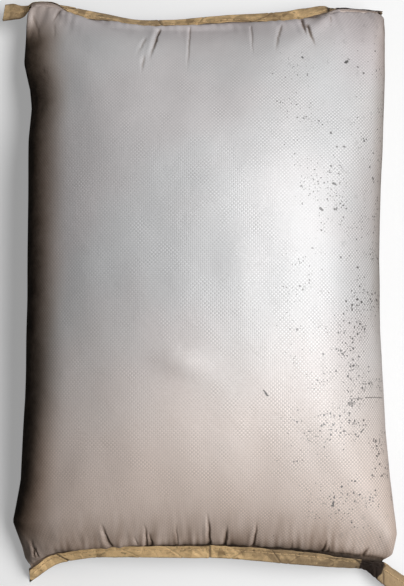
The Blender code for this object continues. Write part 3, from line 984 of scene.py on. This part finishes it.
# Creped paper: clouds, and fields of light and dark brown that paint the shading of creased facets along
# with stains, darker where it is aged, with fibres along the tape, stains, and painted shade with dirt
# where the mesh's fold mark is high
def kraftPaper():
    n = Nodes("kraftPaper")
    look = paperLook
    uv = n.add("ShaderNodeUVMap", uv_map="cloth")
    fold, aged = n.mark("fold"), n.mark("aged")
    tone = n.noise(n.place(uv, scale=(1, 1.6, 1)), 42.0, 5.0, 0.62, 0.5)
    facetShadeAndStain = n.split(n.cells(n.place(uv, turn=(0, 0, 0.35), scale=(1, 0.4, 1)), 48.0, out="Color"))[0]
    fibre = n.noise(n.place(uv, scale=(1, 5, 1)), 700.0, 2.0, 0.6)
    crepe = n.noise(n.place(uv, scale=(1, 0.22, 1)), 900.0, 3.0, 0.6, 0.4)
    stain = n.noise(uv, 85.0, 3.0, 0.7)
    light = n.total(n.times(tone, 1.5), n.ramp(facetShadeAndStain, 0.3, 0.7, (0.0, 0.20)), n.times(aged, -0.36), -0.26)
    colour = n.mix(n.ramp(light, 0.25, 0.85), look["dark"], look["light"])
    colour = n.mix(n.ramp(aged, 0.0, 1.0, (0.0, 0.35), smooth=False), colour, look["worn"])
    colour = n.mix(n.ramp(fibre, 0.55, 0.8, (0.0, 0.22)), colour, look["dark"])
    colour = n.mix(n.ramp(stain, 0.60, 0.72, (0.0, 0.6)), colour, look["soilAndShade"])
    colour = n.mix(n.ramp(fold, 0.05, 1.0, (0.0, 0.99), smooth=False), colour, look["soilAndShade"])
    normal = n.bump(n.noise(uv, 160.0, 3.0, 0.6, 0.5), *look["lump"])
    normal = n.bump(n.total(crepe, n.times(fibre, 0.3)), *look["crepe"], normal)
    return n.finish(Base_Color=colour, Roughness=0.8, Normal=normal, Specular_IOR_Level=0.35)


threadLook = {
    "dark": (0.62, 0.44, 0.24),
    "light": (0.78, 0.57, 0.32),
    # painted shade in the grooves between the plies
    "plyShade": (0.30, 0.20, 0.10),
    "twist": 5200.0,  # radians of twist to a metre of thread
    "plies": 3,
}


# Spun thread: a sine wave that runs along it and round it, with painted shade in the grooves between its
# plies
def sewingThread():
    n = Nodes("sewingThread")
    look = threadLook
    uv = n.add("ShaderNodeUVMap", uv_map="cloth")
    run, turn, _ = n.split(uv)
    twist = n.total(n.times(run, look["twist"]), n.times(turn, 2 * math.pi * look["plies"]))
    twist = n.math("SINE", twist)
    colour = n.mix(n.ramp(n.noise(uv, 220.0, 3.0), 0.3, 0.7), look["dark"], look["light"])
    colour = n.mix(n.ramp(twist, -1.0, -0.4, (0.35, 0.0)), colour, look["plyShade"])
    colour = n.mix(n.mark("soilAndShade"), colour, paperLook["soilAndShade"])
    return n.finish(Base_Color=colour, Roughness=0.8, Normal=n.bump(twist, 0.00015, 0.8))


tapeShape = {
    "inner": 0.0008,  # where each leaf starts, from the seam line
    "fold": 0.0246,  # and where the paper turns back
    "paper": 0.0004,
    "loft": 0.0017,  # half the height of the folded tape
    "pinch": 0.0004,  # how much the stitches pull it in
    "stitchLine": 0.008,
    "crinkle": 0.0009,
    "least": 0.00105,  # the least half height, where the paper lies flat on the hem
    "tail": 0.0004,  # how much lower that is where there is no hem between the leaves
    "foldDepth": 0.0008,
    "foldRidge": 0.0004,
}
# Sharp folds across a tape: x of each on the seam line, half width, depth and slant. Dark stretches: from,
# to and how much: dirt, and at the bottom tape's knot and left tip painted shade. Age: x and how old the
# paper looks there.
topTapeLook = {
    "name": "topTapePaper", "seed": 21, "rough": 0.45, "mouth": "topMouth",
    # how far right of the fold's end the inner edge ends, at the tape's left and at its right
    "cut": (-0.005, 0.0),
    "folds": (
        (-0.186, 0.0016, 1.0, 0.6), (-0.058, 0.0011, 0.6, -0.3), (-0.002, 0.0011, 0.6, 0.4),
        (0.082, 0.0012, 0.7, 1.2), (0.098, 0.0012, 0.6, -0.9), (0.172, 0.0026, 1.0, 0.3),
    ),
    "darkStretches": ((0.176, 0.30, 0.97), (0.092, 0.122, 0.30), (-0.235, -0.190, 0.35)),
    "aged": (
        (-0.27, 0.5), (-0.18, 0.4), (-0.13, 0.8), (-0.06, 0.6),
        (0.0, 0.15), (0.06, 0.3), (0.13, 0.2), (0.2, 0.9),
    ),
}
bottomTapeLook = {
    "name": "bottomTapePaper", "seed": 33, "rough": 0.55, "mouth": "bottomMouth",
    "cut": (0.0146, 0.0),
    "folds": (
        (-0.181, 0.0016, 1.0, 0.5), (-0.128, 0.0012, 0.4, -1.0), (-0.094, 0.0013, 0.5, 1.2),
        (-0.036, 0.0012, 0.5, 0.9), (0.008, 0.0014, 0.8, 0.0), (0.046, 0.0012, 0.5, -0.9),
        (0.094, 0.0012, 0.6, 0.6), (0.118, 0.0012, 0.5, -0.8), (0.204, 0.0026, 1.0, 0.9),
        (0.213, 0.0024, 1.0, -0.7), (0.224, 0.0020, 0.9, 0.5), (0.236, 0.0016, 0.7, 0.9),
    ),
    # the knot and the left tip are darkened by painted shade, the knot with dirt
    "darkStretches": ((0.200, 0.233, 1.0), (0.150, 0.205, 0.22), (-0.26, -0.2315, 0.95)),
    "aged": ((-0.23, -0.45), (-0.03, -0.25), (0.03, 0.0), (0.09, 0.55), (0.2, 0.8), (0.28, 0.55)),
}


# Crumpled paper: the size of two sums of waves, which leaves rounded fields between sharp valleys
def crumple(place, out, seed):
    big, small = waves(place, out, 0.034, 0.040, seed), waves(place, out, 0.015, 0.022, seed + 1)
    return 1.3 * np.abs(big) + 0.55 * np.abs(small) - 0.85


# Height of a tape's leaf over the hem's middle: a low loft, pinched along the stitches, crumpled, and
# pressed in at its sharp folds. Gives the height and how dark each point is: painted shade in the crumple's
# valleys, in the sharp folds, where it turns back and along its inner edge, and the dark stretches.
def tapeRise(seam, place, out, side, look):
    shape = tapeShape
    pinch = shape["pinch"] * bell(out - shape["stitchLine"], 0.0028)
    rumple = crumple(place, out, look["seed"] + (7 if side < 0 else 0))
    rumple = rumple * (1 - 0.75 * smoothStep((out - 0.015) / 0.009))
    rise = shape["loft"] - pinch + shape["crinkle"] * look["rough"] * rumple
    # painted shade in the crumple's valleys, and below in each sharp fold
    dark = smoothStep(-rumple * 1.4 - 0.45) * 0.35
    for x, width, depth, slant in look["folds"]:
        s = place - placeAt(seam, x) - slant * (out - 0.014)
        rise = rise - shape["foldDepth"] * depth * bell(s, width)
        rise = rise + shape["foldRidge"] * depth * bell(s + 2.2 * width, 1.6 * width)
        dark = np.maximum(dark, 0.9 * depth * bell(s, 1.25 * width))
    edge = 0.003 * waves(place, out, 0.012, 0.020, look["seed"] + 6)
    for first, last, much in look["darkStretches"]:
        begun = smoothStep((place - placeAt(seam, first) + edge) / 0.004 + 0.5)
        done = smoothStep((place - placeAt(seam, last) + edge) / 0.004 + 0.5)
        dark = np.maximum(dark, much * begun * (1 - done))
    mouth = placeAt(seam, sackCut[look["mouth"]])
    tail = np.maximum(smoothStep((mouth[0] - place) / 0.01), smoothStep((place - mouth[1]) / 0.01))
    rise = rise - 0.0006 * tail
    # painted shade where it turns back, and along its inner edge, more on the tails
    dark = np.maximum(dark, 0.45 * smoothStep((out - shape["fold"] + 0.0022) / 0.002))
    dark = np.maximum(dark, (0.2 + 0.2 * tail) * smoothStep((0.0045 - out) / 0.004))
    return np.maximum(rise, shape["least"] - shape["tail"] * tail), np.clip(dark, 0, 1)


# One leaf of a tape: how far along the seam, how far out and how high each point lies, and how dark
# it is
def tapeLeaf(seam, look, reach, leaf, side, seed):
    shape = tapeShape
    lip = 0.0009 * waves(reach, 0 * reach, 0.045, 1.0, look["seed"] + seed)
    out = shape["inner"] + lip.clip(-0.0006, None) + (shape["fold"] - shape["inner"] - lip) * leaf
    leftEnd, rightEnd = (1 - reach / 0.05).clip(0, 1), (1 - (seam["length"] - reach) / 0.05).clip(0, 1)
    place = reach + (look["cut"][0] * leftEnd + look["cut"][1] * rightEnd) * (1 - leaf)
    rise, dark = tapeRise(seam, place, out, side, look)
    return place, out, side * rise, dark


# A strip of paper folded over the hem: a U-shaped line across (upper leaf, half-round fold, under
# leaf) carried along the seam, with the paper's thickness square to that line
def foldedTape(seam, look, material):
    reach = np.linspace(0.0, seam["length"], 640)[:, None]
    leaf = np.linspace(0.0, 1.0, 17)[None]
    bend = math.pi * np.linspace(0.0, 1.0, 7)[None, 1:-1]
    place, out, up, dark = tapeLeaf(seam, look, reach, leaf, 1, 3)
    under = [part[:, ::-1] for part in tapeLeaf(seam, look, reach, leaf, -1, 5)]
    placeUnder, outUnder, upUnder, darkUnder = under
    middle, radius = (up[:, -1:] + upUnder[:, :1]) / 2, (up[:, -1:] - upUnder[:, :1]) / 2
    foldOut = out[:, -1:] + radius * 0.9 * np.sin(bend)
    foldUp = middle + radius * np.cos(bend)
    # painted shade on the half-round fold
    foldDark = np.maximum(0.6, dark[:, -1:]) + 0 * foldOut
    place = np.concatenate([place, reach + 0 * bend, placeUnder], axis=1)
    out = np.concatenate([out, foldOut, outUnder], axis=1)
    up = np.concatenate([up, foldUp, upUnder], axis=1)
    dark = np.concatenate([dark, foldDark, darkUnder], axis=1)
    dOut, dUp = np.gradient(out, axis=1), np.gradient(up, axis=1)
    size = np.hypot(dOut, dUp)
    inwardOut, inwardUp = dUp / size * tapeShape["paper"], -dOut / size * tapeShape["paper"]
    outer = onSeam(seam, place, out, up)
    inner = onSeam(seam, place, out + inwardOut, up + inwardUp)
    ring = np.concatenate([outer, inner[:, ::-1]], axis=1)
    ring[..., 2] = np.maximum(ring[..., 2], 0.0004)
    run = np.cumsum(size, axis=1)
    flat = np.stack([mirrored(place), mirrored(run)], axis=-1).reshape(-1, 2)
    # the paper's inner face is darker by painted shade
    fold = np.concatenate([dark, 0.2 + 0.8 * dark[:, ::-1]], axis=1)
    aged = np.interp(onSeam(seam, reach, 0.0, 0.0)[..., 0], *np.array(look["aged"]).T)
    groups = stripFaces(*ring.shape[:2])
    marks = {"fold": fold, "aged": aged + 0 * fold}
    return meshPiece(look["name"], ring, groups, [flat[group] for group in groups], material, marks)


# Each row followed by itself backwards
def mirrored(rows):
    return np.concatenate([rows, rows[:, ::-1]], axis=1)


# Quads of a strip whose cross-sections are closed rings, and at each end the quads from its outside
# to its inside
def stripFaces(count, width):
    index = np.arange(count * width).reshape(count, width)
    ahead = np.roll(index, -1, axis=1)
    shell = np.stack([index[:-1], index[1:], ahead[1:], ahead[:-1]], axis=-1).reshape(-1, 4)
    k = np.arange(width // 2 - 1)
    corners = np.stack([k, k + 1, width - 2 - k, width - 1 - k], axis=-1)
    return [shell, index[0][corners], index[-1][corners[:, ::-1]]]


paper = kraftPaper()
for seam, look, node in ((topSeam, topTapeLook, "top_tape"), (bottomSeam, bottomTapeLook, "bottom_tape")):
    tape = foldedTape(seam, look, paper)
    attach(tape, "root")
    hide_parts(node)
print("tapes made")


# Chain stitches

stitch = {
    "pitch": 0.0088,
    "thread": 0.0010,
    "margin": 0.016,  # how far from the tape's ends the seam starts and stops
    "loop": 0.0009,
    "dive": 0.0013,  # how deep the upper thread goes into each hole
    "backward": 0.16,  # share of a stitch by which the under thread's loops run back
}


# A thread: a circle of points carried along a path, square to it, and closed at both ends
def tube(name, path, radius, shadeAndDirt, material, sides=8):
    along = np.gradient(path, axis=0)
    along /= np.linalg.norm(along, axis=1)[:, None]
    side = np.cross(along, [0.0, 0.0, 1.0])
    side /= np.linalg.norm(side, axis=1)[:, None]
    up = np.cross(side, along)
    angle = (np.arange(sides) / sides * 2 * math.pi)[None, :, None]
    ring = path[:, None] + radius * (np.cos(angle) * side[:, None] + np.sin(angle) * up[:, None])
    ring = np.concatenate([path[None, :1] + 0 * ring[:1], ring, path[None, -1:] + 0 * ring[:1]])
    run = np.concatenate([[0.0], np.cumsum(np.linalg.norm(np.diff(path, axis=0), axis=1))])
    run = np.concatenate([run[:1], run, run[-1:]])
    count = len(ring)
    index = np.arange(count * sides).reshape(count, sides)
    ahead = np.roll(index, -1, axis=1)
    faces = np.stack([index[:-1], ahead[:-1], ahead[1:], index[1:]], axis=-1).reshape(-1, 4)
    turn = np.broadcast_to(np.arange(sides) / sides, (count, sides))
    flat = np.stack([np.broadcast_to(run[:, None], turn.shape), turn], axis=-1).reshape(-1, 2)
    shadeAndDirt = np.repeat(np.concatenate([shadeAndDirt[:1], shadeAndDirt, shadeAndDirt[-1:]]), sides)
    return meshPiece(name, ring, [faces], [flat[faces]], material, {"soilAndShade": shadeAndDirt})


# How many whole stitches fit on a seam between its margins
def stitchCount(seam):
    return int((seam["length"] - 2 * stitch["margin"]) / stitch["pitch"])


# The upper thread: it lies along each stitch and dives into the tape at every needle hole, by a
# high power of a cosine
def needleThread(seam, look, name, material):
    count = stitchCount(seam)
    t = np.linspace(0.0, count, count * 16 + 1)
    place = stitch["margin"] + t * stitch["pitch"]
    out = tapeShape["stitchLine"] + 0.0004 * waves(place, 0 * place, 0.03, 1.0, look["seed"] + 9)
    rise, dark = tapeRise(seam, place, out, 1, look)
    up = rise + stitch["thread"] * 0.45 - np.abs(np.cos(math.pi * t)) ** 10 * stitch["dive"]
    return tube(name, onSeam(seam, place, out, up), stitch["thread"] / 2, dark, material)


# The under thread: a chain of loops, made by a point that runs forward while it circles
def looperThread(seam, look, name, material):
    count = stitchCount(seam)
    t = np.linspace(0.0, count, count * 24 + 1)
    place = stitch["margin"] + stitch["pitch"] * (t - stitch["backward"] * np.sin(4 * math.pi * t))
    out = tapeShape["stitchLine"] + stitch["loop"] * np.sin(2 * math.pi * t)
    rise, dark = tapeRise(seam, place, out, -1, look)
    up = -rise - stitch["thread"] * (0.55 + 0.35 * (1 + np.cos(2 * math.pi * t)))
    return tube(name, onSeam(seam, place, out, up), stitch["thread"] / 2, dark, material)


thread = sewingThread()
for end, seam, look in (("top", topSeam, topTapeLook), ("bottom", bottomSeam, bottomTapeLook)):
    for maker, kind in ((needleThread, "needle"), (looperThread, "looper")):
        piece = maker(seam, look, end + kind.capitalize() + "Stitches", thread)
        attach(piece, "root")
        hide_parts("%s_%s_thread" % (end, kind))
print("stitches made")


# Floor and light

studio = {
    "floor": (0.62, 0.62, 0.62),
    "floorGlow": 0.30,  # keeps the sack's shadow on the floor pale
    "floorBounce": (0.16, 0.15, 0.14),  # what the floor throws back at the sack's sides
    # each light: which way it lies, how far, its width along the sack and across it, and its power
    "key": {"towards": (0.530, 0.080, 0.844), "distance": 2.2, "size": (3.1, 1.1), "power": 60},
    "fill": {"towards": (0.557, -0.663, 0.5), "distance": 2.2, "size": (1.4, 1.4), "power": 7},
    "world": 0.035,
    "backdrop": 0.75,  # what the camera sees beyond the floor
}


# A level floor: to the camera it is pale with a weak glow, and to every other ray it is darker
def makeFloor():
    n = Nodes("paleFloor")
    seen = n.add("ShaderNodeLightPath", out=0)
    colour = n.mix(seen, studio["floorBounce"], studio["floor"])
    n.finish(Base_Color=colour, Roughness=0.9, Specular_IOR_Level=0.2)
    glow = n.times(seen, studio["floorGlow"])
    material = n.finish(Emission_Color=(1, 1, 1), Emission_Strength=glow)
    mesh = bpy.data.meshes.new("floor")
    mesh.from_pydata([(-4, -4, 0), (4, -4, 0), (4, 4, 0), (-4, 4, 0)], [], [(0, 1, 2, 3)])
    mesh.materials.append(material)
    floor = bpy.data.objects.new("floor", mesh)
    bpy.context.scene.collection.objects.link(floor)


# An oval light at a distance in one direction from the sack's middle, facing it
def areaLight(name, towards, distance, size, power):
    data = bpy.data.lights.new(name, "AREA")
    data.shape, data.energy = "ELLIPSE", power
    data.size, data.size_y = size
    light = bpy.data.objects.new(name, data)
    light.location = Vector((0, 0, 0.06)) + Vector(towards).normalized() * distance
    light.rotation_euler = Vector(towards).to_track_quat("Z", "Y").to_euler()
    bpy.context.scene.collection.objects.link(light)


# White surroundings: weak light on the sack, and a pale backdrop where the camera sees past the floor
def makeWorld():
    world = bpy.data.worlds.new("studio")
    world.use_nodes = True
    nodes, links = world.node_tree.nodes, world.node_tree.links
    background = nodes["Background"]
    background.inputs["Color"].default_value = (1, 1, 1, 1)
    strength = nodes.new("ShaderNodeMapRange")
    strength.inputs["To Min"].default_value = studio["world"]
    strength.inputs["To Max"].default_value = studio["backdrop"]
    links.new(nodes.new("ShaderNodeLightPath").outputs[0], strength.inputs["Value"])
    links.new(strength.outputs[0], background.inputs["Strength"])
    bpy.context.scene.world = world


makeFloor()
areaLight("key", **studio["key"])
areaLight("fill", **studio["fill"])
makeWorld()
bpy.context.scene.view_settings.view_transform = "Standard"
print("floor and light placed")
